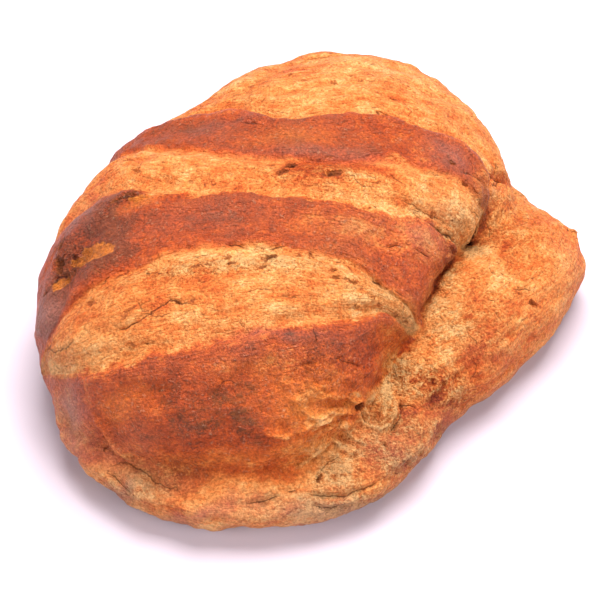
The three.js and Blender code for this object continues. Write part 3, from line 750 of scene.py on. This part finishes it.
class Crust:
    """The crust's places, points and all that is worked out at each of them."""

    def __init__(self):
        places, triangles = hex_map(GRID)
        points = cast(directions_of(places))
        places, triangles = keep_used(places, triangles[(points[triangles, 2] > LOWEST).any(1)])
        close = self.near_detail(places)[triangles].any(1)
        self.places, self.triangles = split_where(places, triangles, close)
        self.points = cast(directions_of(self.places))
        self.normals = point_normals(self.points, self.triangles)
        gap, self.seam_along, side = line_gap(self.places, [knot[:2] for knot in CLEFT])
        self.side = -gap * side
        self.strip = strip_place(self.places)
        behind = np.minimum(-self.side, self.places[:, 1] - CLEFT[-1][1])
        turned = np.maximum(behind, self.strip - STRIP_PLACES[-1])
        lobe = turned > 0
        self.calm = smooth(0.8, 4, np.abs(turned))
        away = self.places - np.array(LOBE_MIDDLE)
        along = np.where(lobe, np.arctan2(away[:, 1], away[:, 0]) * LOBE_BEND, self.places[:, 0])
        self.flow = np.column_stack([along, np.where(lobe, np.hypot(*away.T), self.strip)])
        self.rough = self.roughness()
        self.bends = [
            np.column_stack([noise(self.places, cell, seed) for seed in seeds]) for cell, seeds in BENDS
        ]

    @staticmethod
    def near_detail(places):
        """True for the places where the grid has to be finer."""
        close = np.zeros(len(places), bool)
        for *_, lines in FINE_LINES:
            for line in lines:
                near = near_line(places, line, FINE_NEAR["line"])
                close[near] |= line_gap(places[near], line)[0] < FINE_NEAR["line"]
        for hole in HOLES + PLATES:
            gap = np.hypot(*(places - np.array(hole[:2])).T)
            close |= gap < hole[2] + FINE_NEAR["hole"]
        close |= line_gap(places, [knot[:2] for knot in CLEFT])[0] < FINE_NEAR["cleft"]
        strip = strip_place(places)
        on_top = (places[:, 0] < TOP_RIGHT) & (np.hypot(*places.T) < TOP_REACH)
        for edge in STRIP_PLACES:
            close |= on_top & (np.abs(strip - edge) < FINE_NEAR["edge"])
        return close

    def opened(self):
        """1 where the crust has opened between the dark strips, 0 on them."""
        inside = np.zeros(len(self.places))
        for start, end in OPENINGS:
            past_start = smooth(-EDGE_BLUR, EDGE_BLUR, self.strip - start)
            inside = np.maximum(inside, past_start * smooth(EDGE_BLUR, -EDGE_BLUR, self.strip - end))
        return np.where(self.side > 0, inside, 1)

    def strip_relief(self):
        """The height of the lips, steps and crowns of the strips."""
        ragged = self.strip + relief("ragged_edge", self.flow) + relief("frayed_edge", self.flow)
        height = np.zeros(len(self.points))
        for back, front in zip(STRIP_PLACES[::2], STRIP_PLACES[1::2]):
            for part in (LIP, BEHIND_LIP):
                height += hill(part["height"], ragged - back - part["after"], part["width"])
            height += torn_step(ragged - back, LIP_FADE)
            if front < STRIP_PLACES[-1]:
                height += hill(STEP["height"], ragged - front - STEP["after"], STEP["width"])
                height -= torn_step(ragged - front, STEP_FADE)
        for start, end in OPENINGS:
            across = (self.strip - (start + end) / 2) / ((end - start) / 2)
            height += CROWN * np.maximum(0, 1 - across**2) ** 2
        return height * smooth(*RELIEF_HEIGHTS, self.points[:, 2]) * smooth(0, SEAM_CALM, self.side)

    def roughness(self):
        """How rough the crust is, from 0 to 1."""
        amount = np.zeros(len(self.places))
        for a, b, reach_a, reach_b, rough in ROUGH:
            gap = ((self.places[:, 0] - a) / reach_a) ** 2 + ((self.places[:, 1] - b) / reach_b) ** 2
            amount = np.maximum(amount, rough * np.exp(-gap))
        return amount

    def fine_relief(self):
        """The height of streaks, wrinkles, folds and crags."""
        skin = 1 - self.opened()
        z = self.points[:, 2]
        height = relief("dimples", self.points) + relief("pores", self.points)
        height += (1 - SKIN_CALM * skin) * self.calm * relief("streaks", self.flow)
        height += smooth(50, 20, z) * relief("layers", self.points)
        height += skin * smooth(150, 175, self.strip) * relief("front_streaks", self.places)
        away = self.places - np.array(PIT)
        gap = np.hypot(*away.T)
        turn = np.arctan2(away[:, 1], away[:, 0]) + gap / FOLD_TWIST + relief("fold_bend", self.places)
        spread = smooth(7, 20, gap) * hill(1, gap, FOLD_REACH) * smooth(6, -6, away.sum(1))
        height += FOLD_HEIGHT * spread * np.sin(FOLDS * turn)
        crags = np.maximum(CRAG_TOP - np.abs(relief("crags", self.points)), CRAG_FLOOR)
        height += self.rough**CRAG_POWER * (crags + relief("crumbs", self.points))
        wall = smooth(16, 6, self.side) * smooth(-1, 2, self.side)
        wall *= smooth(-70, -50, self.places[:, 1])
        height += wall * relief("wall", np.column_stack([self.side, self.seam_along * SEAM_LENGTH]))
        return height

    def cleft(self):
        """How deep the cleft is where the lobe meets the dome."""
        deep = np.interp(self.seam_along, np.linspace(0, 1, len(CLEFT)), [knot[2] for knot in CLEFT])
        wavy = self.side + relief("cleft", self.places)
        return deep * np.exp(-((wavy / CLEFT_WIDTH) ** 2))

    def bent(self, amounts):
        """The places moved a little by two noises, so that what is drawn by them looks torn."""
        return self.places + sum(amount * bend for amount, bend in zip(amounts, self.bends))

    def lines(self):
        """How deep and how raised all lines are together, and the nearest crack: its distance, less than
        zero on one side, and how wide its line of painted shade is drawn."""
        depth, width, raised = np.zeros((3, len(self.places)))
        crack = np.full(len(self.places), FAR)
        for family in (*FINE_LINES, RIDGES):
            half, reach, deep, lines = family
            places = self.bent(NARROW_BEND if reach < NARROW else WIDE_BEND)
            for line in lines:
                near = near_line(places, line, LINE_MARGIN)
                gap, along, side = line_gap(places[near], line)
                ends = smooth(0, TAPER, along) * smooth(1, 1 - TAPER, along)
                taper = THIN_END + (1 - THIN_END) * ends
                valley = deep * taper * np.exp(-((gap / reach) ** 2))
                depth[near] += valley
                if deep < 0 and family is not RIDGES:
                    raised[near] -= valley
                if half:
                    closer = gap < np.abs(crack[near])
                    crack[near[closer]] = (gap * side)[closer]
                    width[near[closer]] = (half * taper * smooth(2, 1.2, gap))[closer]
        return depth, raised, {"crack": crack, "width": width}

    def holes(self):
        """How deep the holes and plates are, how far inside one each place is, and how dark the shade
        painted into it is.
        """
        depth = np.zeros(len(self.places))
        inside, plate, dark = np.full((3, len(self.places)), OUTSIDE)
        places = self.bent(HOLE_BEND)
        for torn in HOLES + PLATES + random_slits():
            _, _, half_length, half_width, _, deep = torn
            near = near_line(places, [torn[:2], torn[:2]], half_length + HOLE_MARGIN)
            inner = hole_gap(places[near], torn)
            rim = np.exp(-(((inner + RIM["outside"]) / RIM["width"]) ** 2))
            depth[near] += deep * smooth(-0.15, 0.7, inner) - RIM["height"] * rim
            kind = plate if torn in PLATES else inside
            kind[near] = np.maximum(kind[near], inner * half_width)
            if kind is inside:
                # The deeper the hole, the darker the shade painted in its middle
                here = np.where(inner > -1, min(1, deep / DARK_DEPTH), OUTSIDE)
                dark[near] = np.maximum(dark[near], here)
        return depth, {"hole": inside, "plate": plate, "dark": np.maximum(dark, 0)}

    def patches(self):
        """How much browner, more plum and more golden the crust is than plain."""
        change = np.zeros((3, len(self.places)))
        bend = np.column_stack([relief(name, self.places) for name in ("patch_bend", "patch_sway")])
        bent = self.places + bend
        for a, b, reach_a, reach_b, *amounts in PATCHES:
            near = np.exp(-(((bent[:, 0] - a) / reach_a) ** 2) - ((bent[:, 1] - b) / reach_b) ** 2)
            change[: len(amounts)] += np.outer(amounts, near)
        low = smooth(20, 4, self.points[:, 2])
        return change + np.outer(LOW_CRUST, low)


def close_base(work):
    """Cuts the loaf off at its base and fills the cut with an even grid of triangles."""
    whole = work.verts[:] + work.edges[:] + work.faces[:]
    bmesh.ops.bisect_plane(
        work, geom=whole, dist=CUT_GAP, plane_co=(0, 0, 0), plane_no=(0, 0, 1), clear_inner=True
    )
    rim = [edge for edge in work.edges if edge.is_boundary]
    corners = {vertex: index for index, vertex in enumerate({v for edge in rim for v in edge.verts})}
    flat = [vertex.co.xy for vertex in corners]
    edges = [tuple(corners[vertex] for vertex in edge.verts) for edge in rim]
    inner = hex_map(BASE_GRID)[0] * MM
    flat += [Vector(place) for place in inner[np.hypot(*inner.T) < BASE_REACH * MM]]
    spots, _, faces, origins, _, _ = delaunay_2d_cdt(flat, edges, [], 1, TINY)
    named = list(corners)
    made = []
    for spot, sources in zip(spots, origins):
        old = [named[i] for i in sources if i < len(named)]
        made.append(old[0] if old else work.verts.new((spot.x, spot.y, 0)))
    for face in faces:
        work.faces.new([made[i] for i in reversed(face)])
    bmesh.ops.delete(work, geom=[v for v in work.verts if not v.link_faces], context="VERTS")


def put(name, data, place=(0, 0, 0), view=None):
    """Adds an object to the scene, a camera or a light with the way it looks."""
    made = bpy.data.objects.new(name, data)
    made.location = place
    if view:
        made.rotation_euler = view.to_track_quat("-Z", "Y").to_euler()
    bpy.context.scene.collection.objects.link(made)
    return made


def build_loaf():
    crust = Crust()
    depth, raised, cracks = crust.lines()
    hole_depth, holes = crust.holes()
    fine = crust.fine_relief()
    cleft = crust.cleft()
    coarse = relief("lumps", crust.points) + relief("swells", crust.points)
    lift = crust.strip_relief() + fine + coarse - depth - hole_depth - cleft
    lift *= smooth(-1, 4, crust.points[:, 2])
    points = crust.points + crust.normals * lift[:, None]
    tone, plum, gold = crust.patches()
    mesh = bpy.data.meshes.new("loaf_crust")
    mesh.from_pydata((points * MM).tolist(), [], crust.triangles.tolist())
    along, across = crust.flow.T
    looks = {"along": along, "across": across, "strip": crust.strip, "side": crust.side}
    looks |= {"fine": fine + raised, "rough": crust.rough, "calm": crust.calm, "cleft": cleft}
    looks |= {"tone": tone, "plum": plum, "gold": gold} | cracks | holes
    for name, values in looks.items():
        layer = mesh.attributes.new(name, "FLOAT", "POINT")
        layer.data.foreach_set("value", np.asarray(values, np.float32))
    work = bmesh.new()
    work.from_mesh(mesh)
    close_base(work)
    work.to_mesh(mesh)
    work.free()
    mesh.shade_smooth()
    return put("loaf_crust", mesh)


def centre_on_box(loaf):
    corners = np.array([vertex.co for vertex in loaf.data.vertices])
    middle = (corners.min(0) + corners.max(0)) / 2
    loaf.data.transform(Matrix.Translation((-middle[0], -middle[1], 0)))


def linear(colour):
    """A colour as screens show it, 0 to 255, in the linear numbers that light uses."""
    shares = [part / 255 for part in colour]
    return (*(s / 12.92 if s < 0.0404 else ((s + 0.055) / 1.055) ** 2.4 for s in shares), 1)


class Nodes:
    """Adds nodes to a material. An input is a number, a colour or another node's output."""

    def __init__(self, material):
        material.use_nodes = True
        self.tree = material.node_tree
        self.shader = self.tree.nodes["Principled BSDF"]

    def add(self, kind, inputs, output=0, **settings):
        made = self.tree.nodes.new(kind)
        for name, value in settings.items():
            setattr(made, name, value)
        for key, value in inputs.items():
            self.feed(made.inputs[key], value)
        return made.outputs[output]

    def feed(self, socket, value):
        if isinstance(value, bpy.types.NodeSocket):
            self.tree.links.new(value, socket)
        else:
            socket.default_value = value

    def math(self, operation, first, *others):
        """The operation on one value, or on all of them from the first to the last."""
        if not others:
            return self.add("ShaderNodeMath", {0: first}, operation=operation)
        for other in others:
            first = self.add("ShaderNodeMath", {0: first, 1: other}, operation=operation)
        return first

    def noise(self, vector, scale, detail, roughness):
        """Cloudy noise from about -0.5 to 0.5."""
        inputs = {"Vector": vector, "Scale": scale, "Detail": detail, "Roughness": roughness}
        return self.math("SUBTRACT", self.add("ShaderNodeTexNoise", inputs), 0.5)

    def mix(self, share, first, second):
        made = self.tree.nodes.new("ShaderNodeMix")
        made.data_type = "RGBA"
        for index, value in zip(COLOUR_MIX_INPUTS, (share, first, second)):
            self.feed(made.inputs[index], value)
        return made.outputs[COLOUR_MIX_OUTPUT]

    def ramp(self, value, stops):
        output = self.add("ShaderNodeValToRGB", {0: value})
        bar = output.node.color_ramp
        while len(bar.elements) < len(stops):
            bar.elements.new(0.5)
        for element, (place, colour) in zip(bar.elements, stops):
            element.position = place
            element.color = colour
        return output


class CrustNodes(Nodes):
    """The named parts of the crust's material, each made when it is first asked for."""

    def __init__(self, material):
        super().__init__(material)
        self.parts = {}
        self.body = self.add("ShaderNodeTexCoord", {}, output="Object")
        lengths = {0: self.part("along"), 1: self.part("across"), 2: 0.0}
        self.flow = self.add("ShaderNodeCombineXYZ", lengths)

    def part(self, name):
        if name not in self.parts:
            self.parts[name] = self.make(name)
        return self.parts[name]

    def make(self, name):
        if name == "dark_strips":
            return self.dark_strips()
        if name in ROUND_NOISES:
            return self.noise(self.body, *ROUND_NOISES[name])
        if name in LONG_NOISES:
            length, width, *sizes = LONG_NOISES[name]
            scales = {0: self.flow, 1: (1 / length, 1 / width, 1)}
            return self.noise(self.add("ShaderNodeVectorMath", scales, operation="MULTIPLY"), 1.0, *sizes)
        if name in RISES:
            start, end, shares = RISES[name]
            inputs = {"Value": self.blend(shares), "From Min": start, "From Max": end}
            return self.add("ShaderNodeMapRange", inputs, interpolation_type="SMOOTHSTEP")
        if name in SUMS:
            return self.blend(SUMS[name])
        if name in MATHS:
            operation, *names = MATHS[name]
            return self.math(operation, *map(self.part, names))
        return self.add("ShaderNodeAttribute", {}, output="Fac", attribute_name=name)

    def blend(self, shares):
        """The sum of parts in these shares, and of a base."""
        total = shares.get("base", 0.0)
        for name, share in shares.items():
            if name != "base":
                inputs = {0: self.part(name), 1: share, 2: total}
                total = self.add("ShaderNodeMath", inputs, operation="MULTIPLY_ADD")
        return total

    def dark_strips(self):
        """1 on the dark strips and 0 on the openings, each edge as sharp as it is torn."""
        length = RAMP_END - RAMP_START
        stops = []
        for index, (edge, blur) in enumerate(zip(STRIP_PLACES, EDGE_BLURS)):
            before, after = (0, 1) if index % 2 == 0 else (1, 0)
            for place, shade in ((edge - blur, before), (edge + blur, after)):
                stops.append(((place - RAMP_START) / length, (shade, shade, shade, 1)))
        inputs = {"Value": self.part("strip_edge"), "From Min": RAMP_START, "From Max": RAMP_END}
        return self.ramp(self.add("ShaderNodeMapRange", inputs), stops)


def crust_material():
    material = bpy.data.materials.new("crust")
    nodes = CrustNodes(material)
    colour = nodes.ramp(nodes.part("brown"), [(place, linear(brown)) for place, brown in BROWNING])
    for share, laid_colour in STAINS_AND_PAINTED_LIGHT:
        colour = nodes.mix(nodes.part(share), colour, linear(laid_colour))
    inputs = {0: colour, "Scale": nodes.part("shade")}
    shaded = nodes.add("ShaderNodeVectorMath", inputs, operation="SCALE")
    relief_inputs = {"Strength": 1.0, "Distance": BUMP_DISTANCE, "Height": nodes.part("height")}
    for name, value in (
        ("Base Color", shaded),
        ("Roughness", nodes.part("sheen")),
        ("Specular IOR Level", SPECULAR),
        ("Normal", nodes.add("ShaderNodeBump", relief_inputs)),
    ):
        nodes.feed(nodes.shader.inputs[name], value)
    return material


def make_camera():
    elevation = math.radians(CAMERA_ELEVATION)
    target = Vector(CAMERA_TARGET) * MM
    back = Vector((0, -math.cos(elevation), math.sin(elevation)))
    data = bpy.data.cameras.new("camera")
    data.sensor_width = SENSOR
    data.lens = SENSOR * CAMERA_DISTANCE / FRAME_WIDTH
    bpy.context.scene.camera = put("camera", data, target + back * CAMERA_DISTANCE * MM, -back)


def make_floor():
    mesh = bpy.data.meshes.new("floor")
    corners = [(x * FLOOR_HALF, y * FLOOR_HALF, 0) for x, y in ((-1, -1), (1, -1), (1, 1), (-1, 1))]
    mesh.from_pydata(corners, [], [(0, 1, 2, 3)])
    floor = put("floor", mesh)
    material = bpy.data.materials.new("floor")
    material.use_nodes = True
    shader = material.node_tree.nodes["Principled BSDF"]
    shader.inputs["Base Color"].default_value = FLOOR_COLOUR
    shader.inputs["Roughness"].default_value = FLOOR_ROUGHNESS
    mesh.materials.append(material)


def make_lights():
    scene = bpy.context.scene
    scene.view_settings.view_transform = "Standard"
    world = bpy.data.worlds.new("studio")
    world.use_nodes = True
    background = world.node_tree.nodes["Background"]
    background.inputs["Color"].default_value = STUDIO_COLOUR
    background.inputs["Strength"].default_value = STUDIO_STRENGTH
    scene.world = world
    for name, size, energy, place in LIGHTS:
        data = bpy.data.lights.new(name, "AREA")
        data.size = size
        data.energy = energy
        data.color = LIGHT_COLOUR
        put(name, data, Vector(place), -Vector(place))


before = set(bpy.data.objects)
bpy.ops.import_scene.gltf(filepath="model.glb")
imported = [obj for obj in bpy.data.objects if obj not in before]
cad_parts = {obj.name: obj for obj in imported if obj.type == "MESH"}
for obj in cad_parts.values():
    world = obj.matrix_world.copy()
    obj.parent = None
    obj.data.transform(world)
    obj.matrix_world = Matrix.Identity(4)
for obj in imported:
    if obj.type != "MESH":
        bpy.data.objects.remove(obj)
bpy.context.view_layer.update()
make_camera()
make_floor()
make_lights()
loaf = build_loaf()
centre_on_box(loaf)
loaf.data.materials.append(crust_material())
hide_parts("loaf")
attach(loaf, "root")
